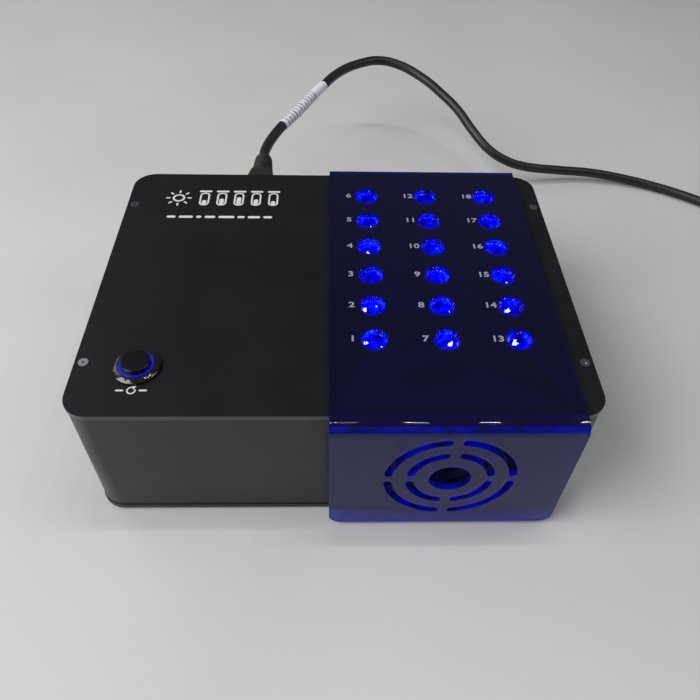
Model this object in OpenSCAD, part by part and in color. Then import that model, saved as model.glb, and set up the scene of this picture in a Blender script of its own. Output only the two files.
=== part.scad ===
// Eighteen-position tube illuminator: a low black metal case with LED-lit sample wells under a
// bent blue acrylic cover, a cooling fan behind the front vents, a lit push button and a mains lead.
// The origin is on the table under the middle of the case, +X to its right and +Y to its back.

/* [Case] */
// Width of the case, side to side
case_w = 240; // [236:1:320]
// Depth of the case, front to back
case_d = 183; // [181:1:240]
// Height of the case, without its feet
case_h = 77.5; // [76:0.5:110]
// Radius of the upright corners
corner_r = 12; // [6:1:14]
// Thickness of the side wall
wall_t = 2; // [1.5:0.1:2.6]
// Thickness of the top plate
plate_t = 2.5; // [2:0.1:4]
// Thickness of the base plate
base_t = 2.5; // [2:0.1:4]
// How far the side wall stands back from the edges of the two plates
seam_inset = 0.5; // [0.3:0.1:1]
// Diameter of a rubber foot
foot_d = 14; // [10:1:20]
// Height of a rubber foot
foot_h = 1.5; // [1:0.5:6]
// Distance of the case screws from the side edges
screw_inset = 4; // [3.5:0.5:5]
// Distance of the front case screws from the front edge
front_screw_y = 31; // [24:1:50]
// Distance of the rear case screws from the rear edge
rear_screw_y = 31; // [24:1:50]

/* [Sample wells] */
// Bore of a sample well
well_d = 11.4; // [9:0.1:14]
// Rows of wells, front to back
well_rows = 6; // [2:1:6]
// Columns of wells, side to side
well_cols = 3; // [2:1:3]
// Distance between rows
row_pitch = 22.9; // [18:0.1:23]
// Distance between columns
col_pitch = 34.5; // [24:0.5:36]
// Distance from the front edge to the first row
first_row_y = 43.2; // [40:0.1:60]
// Wall of a reflector tube
liner_t = 1.1; // [0.8:0.1:2]
// Thickness of the rack plate that carries the reflector tubes
rack_t = 3; // [2:0.5:5]
// Height of the rack plate above the heat sink
rack_lift = 8; // [6:0.5:12]

/* [Blue cover] */
// Width of the cover
cover_w = 112; // [110:1:130]
// Thickness of the acrylic sheet
cover_t = 3; // [2:0.5:5]
// Distance of the cover from the right edge of the case
cover_inset = 11.6; // [8:0.1:20]
// Air gap between the front of the case and the cover's front panel
cover_gap = 6.5; // [3:0.5:12]
// Inner radius of the heat-formed bend
bend_r = 2.5; // [1:0.5:6]
// Radius of the two bottom corners
cover_corner_r = 6; // [2:1:12]
// Height of the cover's bottom edge above the underside of the case
cover_lift = 1.2; // [0.5:0.1:6]
// Margin of the cover's holes round a well's bore
cover_rim = 0.8; // [0.4:0.1:2]

/* [Vents and fan] */
// Height of the vents' centre above the underside of the case
vent_z = 42; // [36:1:44]
// Diameter of the vents' middle hole
vent_hole_d = 19.5; // [10:0.5:24]
// Width of a curved vent slot
vent_slot_w = 3.9; // [2:0.1:5]
// Mean radius of the inner ring of slots
vent_inner_r = 18.9; // [16:0.1:22]
// Mean radius of the outer ring of slots
vent_outer_r = 29; // [27:0.1:32]
// Width of the bridges between slots
vent_bridge = 4.3; // [3:0.1:8]
// Size of the square fan
fan_size = 60; // [50:1:60]
// Depth of the fan
fan_depth = 25; // [20:1:30]

/* [Push button] */
// Diameter of the button's threaded barrel
button_d = 19; // [17:0.5:23]
// Distance of the button from the left edge
button_in_x = 29; // [22:1:40]
// Distance of the button from the front edge
button_in_y = 28; // [22:1:40]
// Height of the button's cap above its bezel
cap_rise = 2.4; // [0:0.1:3]
// Travel of the button's cap
button_travel = 2.5; // [1:0.5:3]

/* [Power entry] */
// Distance of the inlet to the left of the middle
inlet_x = 49; // [40:1:60]
// Height of the inlet and the switch above the underside of the case
inlet_z = 53.5; // [40:0.5:58]
// Thickness of the inlet's flange
inlet_flange_t = 3; // [2:0.5:4]
// Distance of the power switch from the inlet
switch_gap = 42; // [38:1:46]

/* [Power lead] */
// Diameter of the power lead
cord_d = 7; // [6:0.5:8]
// Mean diameter of the coiled part
coil_d = 77; // [70:1:84]

/* [Hidden] */
$fn = 48;

fit = 0.05;                                   // clearance of a screw, pin or spigot in its hole
loose = 0.2;                                  // clearance of a part that drops into a cut-out
base_z = foot_h;                              // underside of the case
floor_z = base_z + base_t;                    // inside floor
top_z = base_z + case_h;                      // top of the top plate
ceil_z = top_z - plate_t;                     // underside of the top plate
overall_d = cover_gap + cover_t + case_d - seam_inset + inlet_flange_t;
front_y = cover_gap + cover_t - overall_d / 2;   // front edge of the two plates
rear_y = front_y + case_d;                    // rear edge of the two plates
back_y = rear_y - seam_inset;                 // outer face of the rear wall
inner_x = case_w / 2 - seam_inset - wall_t;   // inner face of the side walls
inner_front = front_y + seam_inset + wall_t;  // inner face of the front wall
inner_rear = back_y - wall_t;                 // inner face of the rear wall
mid_y = (front_y + rear_y) / 2;
rear_vent_w = 3;
rear_vent_h = 16;
rear_vent_pitch = 8;

screw_r = 1.25;                               // M2.5
head_r = 2.35;
head_h = 1.5;
tapped_r = screw_r + fit;
socket_r = 0.9;                               // hexagon socket of every screw
case_screw_l = 9;
post_w = 8;
post_d = 12;
post_x = case_w / 2 - screw_inset;
post_ys = [front_y + front_screw_y, rear_y - rear_screw_y];
foot_x = case_w / 2 - 20;
foot_ys = [front_y + 18, rear_y - 18];

cover_x = case_w / 2 - cover_inset - cover_w / 2;   // middle of the cover, the wells and the vents
well_r = well_d / 2;
well_xs = [for (i = [0 : well_cols - 1]) cover_x + (i - (well_cols - 1) / 2) * col_pitch];
well_ys = [for (j = [0 : well_rows - 1]) front_y + first_row_y + j * row_pitch];
wells_y = (well_ys[0] + well_ys[well_rows - 1]) / 2;
wells_d = (well_rows - 1) * row_pitch;
wells_w = (well_cols - 1) * col_pitch;
liner_r = well_r + liner_t;
spigot_r = well_r + 0.6 * liner_t;            // the reflector tube's lower end, in the rack's hole
spigot_l = rack_t + 1.5;

sink_w = wells_w + 39;
sink_d = min(wells_d + 30, inner_rear - 3 - (inner_front + fan_depth + 4));
sink_y = inner_rear - 3 - sink_d / 2;
sink_z = base_z + 26;                         // underside of the heat sink's plate
sink_t = 4;
sink_top = sink_z + sink_t;
fin_h = 16;
fin_t = 1.4;
fin_pitch = 6;
fins = floor((sink_w - 20) / fin_pitch);
sink_hole_x = sink_w / 2 - 4;
sink_hole_y = sink_d / 2 - 5;
rack_hole_y = sink_d / 2 - 29;
board_t = 1.6;
led_w = wells_w + 22;
led_d = wells_d + 18;
led_y = wells_y;
led_hole_x = led_w / 2 - 3.5;
led_hole_y = led_d / 2 - 3.5;
rack_z = sink_top + rack_lift;
rack_top = rack_z + rack_t;
pillar_r = 3.5;
pan_h = 1.6;

fan_x = cover_x;
fan_z = base_z + vent_z;
fan_hole = fan_size / 2 - 5;
duct_r = fan_size / 2 - 1.5;
blade_r = duct_r - 0.8;
hub_r = 14;
hub_t = 1.6;
hub_front = 3;                                // front of the rotor behind the fan's front face
hub_l = 15;
motor_plate_z = fan_depth - 4;
shaft_r = 1.5;
bearing_r = 3.5;
stator_r = 11;
stator_z = hub_front + hub_t + 3.4;

board_lift = 6;
board_left = post_w - inner_x + 4;
psu_w = 92;
psu_d = 62;
psu_x = board_left + psu_w / 2;
psu_y = inner_rear - 8 - psu_d / 2;
board_z = floor_z + board_lift;
board_top = board_z + board_t;
ctrl_w = 86;
ctrl_d = 50;
ctrl_x = board_left + ctrl_w / 2;
ctrl_y = inner_front + 8 + ctrl_d / 2;
board_hole_in = 4;
terminal_h = 10;
core_h = 22;                                  // the transformer's core
mains_wire_r = 1.2;
signal_wire_r = 1;

button_x = button_in_x - case_w / 2;
button_y = front_y + button_in_y;
barrel_r = button_d / 2;
bezel_r = barrel_r + 1.5;
gasket_t = 0.5;
bezel_top = gasket_t + 1.9;                   // heights from here on are above the top plate
ring_r = barrel_r - 1.5;
cap_r = ring_r - 1.25;
cap_gap = 0.15;
cap_top = bezel_top + cap_rise;
cap_t = 3 + cap_rise;
web_top = -6;
web_t = 3;
stem_r = 3;
stem_end = -16;
collar_t = 1.5;
barrel_end = -21;
nut_t = 3.5;
contacts_r = barrel_r - 1.3;
contacts_l = 11;
spring_r = 4.6;
spring_wire_r = 0.35;
spring_turns = 4;

inlet_w = 50;
inlet_h = 22.6;
socket_w = 24.4;
socket_h = 16.6;
socket_l = 16;
inlet_body_w = 27.4;
inlet_body_h = 19.6;
inlet_back = 4;                               // wall behind the socket
inlet_hole = 20;
entry_z = base_z + inlet_z;
socket_floor = back_y + inlet_flange_t - socket_l;
inlet_end = socket_floor - inlet_back;
pin_w = 2;
pin_h = 4;
pin_places = [[-7, -1.6], [0, 2.4], [7, -1.6]];
tab_l = 7;

switch_x = -inlet_x - switch_gap;
switch_w = 15;
switch_h = 21;
switch_bezel_t = 1.5;
switch_body_w = 13;
switch_body_h = 19;
switch_body_l = 16;
rocker_w = 9.4;
rocker_h = 15.2;
rocker_cavity_w = 9.8;
rocker_cavity_h = 16.6;
rocker_tilt = 10;                             // the lean at rest, and as much again to the other side
pivot_y = back_y - 0.7;
pivot_r = 1;

cord_r = cord_d / 2;
wall_plug_h = 20;
cord_sides = 10;
nose_w = 24;
nose_h = 16.2;
nose_l = 15.3;
plug_w = 27;
plug_h = 19;
plug_gap = 0.5;
plug_start = back_y + inlet_flange_t + plug_gap;
relief_start = 129;
relief_end = 151;
relief_r = 7.2;
cord_points = [
  [-49, 151, 55], [-49, 159, 55.5], [-42, 178, 59], [-27, 204, 62], [-11, 235, 64], [6, 265, 64],
  [23, 282, 63], [36, 289, 62], [51, 288, 60], [72, 276, 54], [89, 257, 48], [99, 245, 43],
  [111, 226, 34], [123, 213, 26], [137, 207, 20], [151, 206, 16], [179, 209, 11], [208, 210, 8],
  [234, 206, 5.5], [255, 199, 4], [275, 188, 3.6], [295, 173, 3.6], [308, 160, 3.6], [320, 147, 3.6]
];
label_points = [for (i = [2 : 4]) cord_points[i]];
label_t = 0.3;
coil_x = 360;
coil_y = 181;
coil_section_w = 3 * cord_d;
coil_section_h = 2 * cord_d;
coil_z = 1;
coil_round = 2.5;
tie_t = 1;
tie_start = 60;
tie_angle = 14;
tail_x = coil_x + (coil_d + coil_section_w) / 2 + cord_r;
tail_end = coil_y + 20;
tail_z = wall_plug_h / 2;
tail_points = [for (y = [coil_y, coil_y + 10, tail_end]) [tail_x, y, tail_z]];
wall_relief_l = 22;
wall_plug_l = 30;
wall_plug_w = 26;
blade_x = 6.35;                               // half the distance between the wall plug's blades
blade_t = 1.5;
blade_w = 6.4;
blade_l = 16;
earth_r = 2.4;
earth_l = 18;

// ---------- shapes that repeat ----------

module rounded_rect(w, d, r) {
  square([w - 2 * r, d], center = true);
  square([w, d - 2 * r], center = true);
  for (x = [-1, 1], y = [-1, 1]) translate([x * (w / 2 - r), y * (d / 2 - r)]) circle(r);
}

module rounded_plate(w, d, t, r) {
  linear_extrude(t) rounded_rect(w, d, r);
}

module case_outline(inset, h) {
  translate([0, mid_y, 0])
    rounded_plate(case_w - 2 * inset, case_d - 2 * inset, h, corner_r - inset);
}

// A block with rounded edges along Y, its middle at the origin and its front at y = 0
module y_block(w, h, l, r) {
  rotate([-90, 0, 0]) rounded_plate(w, h, l, r);
}

module at_wells() {
  for (x = well_xs, y = well_ys) translate([x, y, 0]) children();
}

module at_corners(x, y) {
  for (i = [-1, 1], j = [-1, 1]) translate([i * x, j * y, 0]) children();
}

module at_case_screws() {
  for (x = [-post_x, post_x], y = post_ys) translate([x, y, 0]) children();
}

// A countersunk screw that points down, its top at z = 0
module csk_screw(l) {
  difference() {
    rotate_extrude()
      polygon([[0, 0], [head_r, 0], [screw_r, -head_h], [screw_r, -l], [0, -l]]);
    translate([0, 0, -socket_r]) cylinder(h = 1, r = socket_r, $fn = 6);
  }
}

module csk_hole(t) {
  translate([0, 0, -t - 1]) cylinder(h = t + 2, r = screw_r + fit);
  translate([0, 0, -head_h])
    cylinder(h = head_h, r1 = screw_r + fit, r2 = head_r + fit);
}

// A pan-head screw that points down, its head's seat at z = 0
module pan_screw(l) {
  difference() {
    union() {
      cylinder(h = pan_h, r1 = 2.3, r2 = 1.9);
      translate([0, 0, -l]) cylinder(h = l, r = screw_r);
    }
    translate([0, 0, pan_h - socket_r]) cylinder(h = 1, r = socket_r, $fn = 6);
  }
}

module pillar(h) {
  difference() {
    cylinder(h = h, r = pillar_r);
    translate([0, 0, -1]) cylinder(h = h + 2, r = tapped_r);
  }
}

module arc_slot(r, w, a, h) {
  rotate([0, 0, -a / 2]) rotate_extrude(angle = a) translate([r - w / 2, 0]) square([w, h]);
  for (s = [-1, 1]) rotate([0, 0, s * a / 2]) translate([r, 0, 0]) cylinder(h = h, d = w);
}

// The vents' middle hole and two rings of four slots, cut along +Y from y = 0
module vent_cuts(depth) {
  rotate([-90, 0, 0]) {
    cylinder(h = depth, d = vent_hole_d);
    for (r = [vent_inner_r, vent_outer_r], q = [0 : 3])
      rotate([0, 0, 45 + 90 * q])
        arc_slot(r, vent_slot_w, 90 - 2 * asin((vent_bridge + vent_slot_w) / 2 / r), depth);
  }
}

// A tube swept along points, as one closed shape
function unit(v) = v / norm(v);
function heading(p, i) =
  i == 0 ? unit(p[1] - p[0])
  : i == len(p) - 1 ? unit(p[i] - p[i - 1])
  : unit(unit(p[i + 1] - p[i]) + unit(p[i] - p[i - 1]));

module swept_tube(p, r, sides, up = [0, 0, 1]) {
  n = len(p);
  rings = [
    for (i = [0 : n - 1])
      let (t = heading(p, i), s = unit(cross(t, up)), u = cross(s, t))
        for (k = [0 : sides - 1]) p[i] + r * (cos(360 * k / sides) * s + sin(360 * k / sides) * u)
  ];
  skin = [
    for (i = [0 : n - 2], k = [0 : sides - 1])
      let (m = (k + 1) % sides)
        [i * sides + k, i * sides + m, (i + 1) * sides + m, (i + 1) * sides + k]
  ];
  first = [for (k = [sides - 1 : -1 : 0]) k];
  last = [for (k = [0 : sides - 1]) (n - 1) * sides + k];
  polyhedron(rings, concat([first, last], skin), convexity = 8);
}

// ---------- case ----------

module case_shell() color("#1c1d20") difference() {
  translate([0, 0, floor_z]) difference() {
    case_outline(seam_inset, ceil_z - floor_z);
    translate([0, 0, -1]) case_outline(seam_inset + wall_t, ceil_z - floor_z + 2);
  }
  translate([cover_x, front_y - 1, fan_z]) {
    vent_cuts(wall_t + seam_inset + 2);
    for (x = [-1, 1], z = [-1, 1])
      translate([x * fan_hole, 1 + seam_inset, z * fan_hole]) rotate([90, 0, 0]) csk_hole(wall_t);
  }
  translate([-inlet_x, inner_rear - 1, entry_z]) {
    y_block(inlet_body_w + 2 * loose, inlet_body_h + 2 * loose, wall_t + 2, 1);
    for (x = [-inlet_hole, inlet_hole])
      translate([x, 0, 0]) rotate([-90, 0, 0]) cylinder(h = wall_t + 2, r = screw_r + fit);
  }
  translate([switch_x, inner_rear - 1, entry_z])
    y_block(switch_body_w + 2 * loose, switch_body_h + 2 * loose, wall_t + 2, 1);
  for (i = [-5 : 5])
    translate([cover_x + rear_vent_pitch * i, inner_rear - 1, sink_z - 6])
      y_block(rear_vent_w, rear_vent_h, wall_t + 2, 1.4);
}

module top_plate() color("#1a1b1e") difference() {
  translate([0, 0, ceil_z]) case_outline(0, plate_t);
  at_wells() translate([0, 0, ceil_z - 1]) cylinder(h = plate_t + 2, r = well_r);
  translate([0, 0, top_z]) at_case_screws() csk_hole(plate_t);
  translate([button_x, button_y, ceil_z - 1]) cylinder(h = plate_t + 2, r = barrel_r + fit);
}

module base_plate() color("#1a1b1e") difference() {
  translate([0, 0, base_z]) case_outline(0, base_t);
  translate([0, 0, base_z]) at_case_screws() mirror([0, 0, 1]) csk_hole(base_t);
}

module rubber_feet() color("#101010")
  for (x = [-foot_x, foot_x], y = foot_ys)
    translate([x, y, 0]) cylinder(h = foot_h, d1 = foot_d - 1, d2 = foot_d);

module top_screws() color("#303236")
  translate([0, 0, top_z]) at_case_screws() csk_screw(case_screw_l);

module base_screws() color("#303236")
  translate([0, 0, base_z]) at_case_screws() mirror([0, 0, 1]) csk_screw(case_screw_l);

module corner_posts() color("#9a9da2") difference() {
  for (s = [-1, 1], y = post_ys)
    translate([s * (inner_x - post_w / 2), y, (floor_z + ceil_z) / 2])
      cube([post_w, post_d, ceil_z - floor_z], center = true);
  at_case_screws() {
    translate([0, 0, floor_z - 1]) cylinder(h = case_screw_l, r = tapped_r);
    translate([0, 0, ceil_z + 1 - case_screw_l]) cylinder(h = case_screw_l, r = tapped_r);
  }
}

// ---------- sample wells and their light ----------

module tube_rack() color("#e8e8e8") difference() {
  translate([cover_x, sink_y, rack_z]) difference() {
    rounded_plate(sink_w, sink_d, rack_t, 3);
    at_corners(sink_hole_x, rack_hole_y)
      translate([0, 0, -1]) cylinder(h = rack_t + 2, r = screw_r + fit);
  }
  at_wells() translate([0, 0, rack_z - 1]) cylinder(h = rack_t + 2, r = spigot_r + fit);
}

module rack_spacers() color("#c0c2c6")
  translate([cover_x, sink_y, sink_top]) at_corners(sink_hole_x, rack_hole_y) pillar(rack_lift);

module rack_screws() color("#b8babe")
  translate([cover_x, sink_y, rack_top])
    at_corners(sink_hole_x, rack_hole_y) pan_screw(rack_t + rack_lift + 3);

module reflector_tubes() color("#d8dcea")
  at_wells() rotate_extrude() polygon([
    [well_r, rack_top - spigot_l], [spigot_r, rack_top - spigot_l], [spigot_r, rack_top],
    [liner_r, rack_top], [liner_r, ceil_z], [well_r, ceil_z]
  ]);

module led_board() color("#f0f0ee")
  translate([cover_x, led_y, sink_top]) difference() {
    rounded_plate(led_w, led_d, board_t, 2);
    at_corners(led_hole_x, led_hole_y)
      translate([0, 0, -1]) cylinder(h = board_t + 2, r = screw_r + fit);
  }

module led_emitters() color("#2438ff")
  at_wells() translate([0, 0, sink_top + board_t]) {
    translate([0, 0, 0.5]) cube([5, 5, 1], center = true);
    cylinder(h = 1.9, r1 = 1.9, r2 = 1.3);
  }

module led_board_screws() color("#b8babe")
  translate([cover_x, led_y, sink_top + board_t])
    at_corners(led_hole_x, led_hole_y) pan_screw(board_t + 3);

module heat_sink() color("#a9adb3") difference() {
  translate([cover_x, sink_y, 0]) difference() {
    union() {
      translate([0, 0, sink_z]) rounded_plate(sink_w, sink_d, sink_t, 2);
      for (i = [0 : fins - 1])
        translate([(i - (fins - 1) / 2) * fin_pitch, 0, sink_z - fin_h / 2])
          cube([fin_t, sink_d, fin_h], center = true);
    }
    at_corners(sink_hole_x, sink_hole_y)
      translate([0, 0, sink_z - 1]) cylinder(h = sink_t + 2, r = screw_r + fit);
    at_corners(sink_hole_x, rack_hole_y)
      translate([0, 0, sink_top - 3.2]) cylinder(h = 4, r = tapped_r);
  }
  translate([cover_x, led_y, sink_top - 3.2])
    at_corners(led_hole_x, led_hole_y) cylinder(h = 4, r = tapped_r);
}

module heat_sink_posts() color("#c0c2c6")
  translate([cover_x, sink_y, floor_z]) at_corners(sink_hole_x, sink_hole_y) pillar(sink_z - floor_z);

module heat_sink_screws() color("#b8babe")
  translate([cover_x, sink_y, sink_top]) at_corners(sink_hole_x, sink_hole_y) pan_screw(sink_t + 6);

// ---------- fan, drawn with its axis up and laid over to point back ----------

module at_fan() translate([fan_x, inner_front, fan_z]) rotate([-90, 0, 0]) children();

module fan_frame() color("#15161a") at_fan() {
  difference() {
    rounded_plate(fan_size, fan_size, fan_depth, 4);
    translate([0, 0, -1]) cylinder(h = fan_depth + 2, r = duct_r);
    at_corners(fan_hole, fan_hole) translate([0, 0, -1]) cylinder(h = fan_depth + 2, r = tapped_r);
  }
  difference() {
    union() {
      translate([0, 0, motor_plate_z]) cylinder(h = 3, r = hub_r);
      for (a = [45 : 90 : 315])
        rotate([0, 0, a]) translate([hub_r - 1, -1.5, motor_plate_z]) cube([duct_r - hub_r + 2, 3, 3]);
      translate([0, 0, hub_front + hub_t + 2])
        cylinder(h = motor_plate_z - hub_front - hub_t - 1, r = bearing_r);
    }
    translate([0, 0, 1]) cylinder(h = fan_depth, r = shaft_r + fit);
  }
}

module fan_stator() color("#b4642c") at_fan() difference() {
  translate([0, 0, stator_z]) cylinder(h = motor_plate_z - stator_z, r = stator_r);
  cylinder(h = fan_depth, r = bearing_r);
}

module fan_rotor() color("#202126") at_fan() {
  translate([0, 0, hub_front]) {
    difference() {
      cylinder(h = hub_l, r = hub_r);
      translate([0, 0, hub_t]) cylinder(h = hub_l, r = hub_r - 1.6);
    }
    cylinder(h = motor_plate_z - hub_front + 2, r = shaft_r);
  }
  intersection() {
    for (i = [0 : 6])
      rotate([0, 0, i * 360 / 7]) translate([hub_r - 0.8, 0, hub_front + hub_l / 2])
        rotate([38, 0, 0]) translate([0, -0.8, -11]) cube([duct_r, 1.6, 22]);
    translate([0, 0, hub_front + 0.5]) difference() {
      cylinder(h = hub_l - 1, r = blade_r);
      translate([0, 0, -1]) cylinder(h = hub_l + 1, r = hub_r - 0.6);
    }
  }
}

module fan_screws() color("#303236")
  translate([fan_x, inner_front - wall_t, fan_z])
    for (x = [-fan_hole, fan_hole], z = [-fan_hole, fan_hole])
      translate([x, 0, z]) rotate([90, 0, 0]) csk_screw(12);

// ---------- power supply and control boards ----------

module circuit_board(w, d) {
  difference() {
    rounded_plate(w, d, board_t, 2);
    at_corners(w / 2 - board_hole_in, d / 2 - board_hole_in)
      translate([0, 0, -1]) cylinder(h = board_t + 2, r = screw_r + fit);
  }
}

module psu_board() color("#20643a") translate([psu_x, psu_y, board_z]) circuit_board(psu_w, psu_d);

module psu_transformer() color("#c9a227") translate([psu_x + 12, psu_y - 6, board_top]) {
  difference() {
    translate([0, 0, core_h / 2]) cube([28, 24, core_h], center = true);
    for (x = [-8.5, 8.5]) translate([x, 0, core_h / 2]) cube([5, 26, 14], center = true);
  }
  translate([0, 0, core_h / 2]) rotate([90, 0, 0]) cylinder(h = 27, r = 5.8, center = true);
}

module psu_capacitors() color("#26324a") translate([psu_x, psu_y, board_top]) {
  translate([-16, 4, 0]) cylinder(h = 25, r = 9);
  translate([34, 14, 0]) cylinder(h = 16, r = 5);
  translate([34, 0, 0]) cylinder(h = 16, r = 5);
}

module psu_terminals() color("#2f7d4f") translate([psu_x, psu_y, board_top]) {
  translate([-34, 12, terminal_h / 2]) cube([10, 20, terminal_h], center = true);
  translate([34, -18, terminal_h / 2]) cube([10, 16, terminal_h], center = true);
}

module psu_standoffs() color("#c0c2c6") translate([psu_x, psu_y, floor_z])
  at_corners(psu_w / 2 - board_hole_in, psu_d / 2 - board_hole_in) pillar(board_lift);

module psu_screws() color("#b8babe") translate([psu_x, psu_y, board_top])
  at_corners(psu_w / 2 - board_hole_in, psu_d / 2 - board_hole_in) pan_screw(board_t + 5);

module control_board() color("#1d5a8a")
  translate([ctrl_x, ctrl_y, board_z]) circuit_board(ctrl_w, ctrl_d);

module control_chips() color("#202020") translate([ctrl_x, ctrl_y, board_top]) {
  translate([-8, 4, 0.8]) cube([14, 14, 1.6], center = true);
  translate([14, 8, 1.2]) cube([10, 6, 2.4], center = true);
  translate([14, -8, 1.2]) cube([10, 6, 2.4], center = true);
  translate([-30, -6, 4.5]) cube([12, 12, 9], center = true);
}

module control_sockets() color("#efece2") translate([ctrl_x, ctrl_y, board_top]) {
  translate([32, -8, 4]) cube([8, 12, 8], center = true);
  translate([32, 10, 4]) cube([8, 12, 8], center = true);
  translate([-30, 14, 4]) cube([14, 7, 8], center = true);
}

module control_standoffs() color("#c0c2c6") translate([ctrl_x, ctrl_y, floor_z])
  at_corners(ctrl_w / 2 - board_hole_in, ctrl_d / 2 - board_hole_in) pillar(board_lift);

module control_screws() color("#b8babe") translate([ctrl_x, ctrl_y, board_top])
  at_corners(ctrl_w / 2 - board_hole_in, ctrl_d / 2 - board_hole_in) pan_screw(board_t + 5);

// ---------- power inlet and switch ----------

module inlet_housing() color("#141517") translate([-inlet_x, 0, entry_z]) difference() {
  union() {
    translate([0, back_y, 0]) y_block(inlet_w, inlet_h, inlet_flange_t, 3);
    translate([0, inlet_end, 0]) y_block(inlet_body_w, inlet_body_h, back_y - inlet_end + 1, 1);
  }
  translate([0, socket_floor, 0]) y_block(socket_w, socket_h, socket_l + 1, 2);
  for (p = pin_places)
    translate([p[0], inlet_end + inlet_back / 2, p[1]]) cube([pin_w, inlet_back + 2, pin_h], center = true);
  for (x = [-inlet_hole, inlet_hole])
    translate([x, back_y + inlet_flange_t, 0]) rotate([-90, 0, 0]) csk_hole(inlet_flange_t);
}

module inlet_pins() color("#c9cbd0") translate([-inlet_x, 0, entry_z])
  for (p = pin_places)
    translate([p[0] - pin_w / 2, inlet_end - tab_l, p[1] - pin_h / 2])
      cube([pin_w, tab_l + inlet_back + socket_l - 2.5, pin_h]);

module inlet_screws() color("#8f9296") translate([-inlet_x, back_y + inlet_flange_t, entry_z])
  for (x = [-inlet_hole, inlet_hole]) translate([x, 0, 0]) rotate([-90, 0, 0]) csk_screw(10);

module inlet_nuts() color("#8f9296") translate([-inlet_x, inner_rear, entry_z])
  for (x = [-inlet_hole, inlet_hole]) translate([x, 0, 0]) rotate([90, 0, 0]) difference() {
    cylinder(h = 2, r = 2.9, $fn = 6);
    translate([0, 0, -1]) cylinder(h = 4, r = tapped_r);
  }

module switch_housing() color("#141517") translate([switch_x, 0, entry_z]) {
  difference() {
    union() {
      translate([0, back_y, 0]) y_block(switch_w, switch_h, switch_bezel_t, 2);
      translate([0, back_y - switch_body_l, 0]) y_block(switch_body_w, switch_body_h, switch_body_l + 0.5, 1);
    }
    translate([0, pivot_y - 4.5, 0]) y_block(rocker_cavity_w, rocker_cavity_h, 10, 0.5);
    translate([0, pivot_y, 0]) rotate([0, 90, 0])
      cylinder(h = rocker_w + 2.4, r = pivot_r + fit, center = true);
  }
  for (z = [-6, 0, 6])
    translate([0, back_y - switch_body_l - tab_l / 2, z]) cube([4.8, tab_l, 0.8], center = true);
}

module switch_rocker() color("#0c0c0e")
  translate([switch_x, pivot_y, entry_z]) rotate([rocker_tilt, 0, 0]) {
    translate([-rocker_w / 2, 0, 0]) rotate([90, 0, 90]) linear_extrude(rocker_w)
      polygon([
        [-2, -rocker_h / 2], [1.6, -rocker_h / 2], [1.1, 0], [1.6, rocker_h / 2],
        [-2, rocker_h / 2], [-3, 0]
      ]);
    rotate([0, 90, 0]) cylinder(h = rocker_w + 2, r = pivot_r, center = true);
  }

// ---------- lit push button, with heights above the top plate ----------

module at_button() translate([button_x, button_y, top_z]) children();

module button_bezel() color("#0d0d0f") at_button() difference() {
  union() {
    rotate_extrude() polygon([
      [0, gasket_t], [bezel_r, gasket_t], [bezel_r, gasket_t + 0.7], [bezel_r - 0.4, gasket_t + 1],
      [ring_r + 0.7, bezel_top], [0, bezel_top]
    ]);
    translate([0, 0, barrel_end]) cylinder(h = gasket_t - barrel_end + 1, r = barrel_r);
  }
  translate([0, 0, bezel_top - 1.5]) cylinder(h = 2, r = ring_r);
  translate([0, 0, web_top]) cylinder(h = 10, r = cap_r + cap_gap);
  translate([0, 0, web_top - web_t - 1]) cylinder(h = 10, r = stem_r + fit);
  translate([0, 0, barrel_end - 1]) cylinder(h = web_top - web_t - barrel_end + 1, r = cap_r + cap_gap);
}

module button_gasket() color("#050505") at_button() difference() {
  cylinder(h = gasket_t, r = bezel_r - 0.3);
  translate([0, 0, -1]) cylinder(h = gasket_t + 2, r = barrel_r);
}

module button_nut() color("#9b9ea3") at_button() translate([0, 0, -plate_t - nut_t]) difference() {
  cylinder(h = nut_t, r = barrel_r + 3.2, $fn = 6);
  translate([0, 0, -1]) cylinder(h = nut_t + 2, r = barrel_r);
}

module button_light_ring() color("#2030ff") at_button() translate([0, 0, bezel_top - 1.5]) difference() {
  cylinder(h = 1.4, r = ring_r);
  translate([0, 0, -1]) cylinder(h = 4, r = cap_r + cap_gap);
}

module button_cap() color("#17181b") at_button() {
  rotate_extrude() polygon([
    [0, cap_top - cap_t], [cap_r, cap_top - cap_t], [cap_r, cap_top - 0.4], [cap_r - 0.4, cap_top],
    [0, cap_top]
  ]);
  translate([0, 0, stem_end]) cylinder(h = cap_top - cap_t - stem_end + 1, r = stem_r);
  translate([0, 0, web_top - web_t - collar_t]) cylinder(h = collar_t, r = stem_r + 1);
}

module button_spring() color("#c9cbd0") at_button() {
  low = web_top + spring_wire_r;
  high = cap_top - cap_t - spring_wire_r;
  turn_steps = 14;
  steps = spring_turns * turn_steps;
  swept_tube([
    for (i = [0 : steps])
      let (a = 360 * i / turn_steps)
        [spring_r * cos(a), spring_r * sin(a), low + (high - low) * i / steps]
  ], spring_wire_r, 6);
}

module button_contacts() color("#17181b") at_button() {
  translate([0, 0, barrel_end]) cylinder(h = 1.5, r = cap_r);
  translate([0, 0, barrel_end - contacts_l]) cylinder(h = contacts_l, r = contacts_r);
  for (a = [45 : 90 : 315]) rotate([0, 0, a])
    translate([5, 0, barrel_end - contacts_l - 2.5]) cube([0.8, 2.8, 5], center = true);
}

// ---------- wires inside ----------

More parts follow.
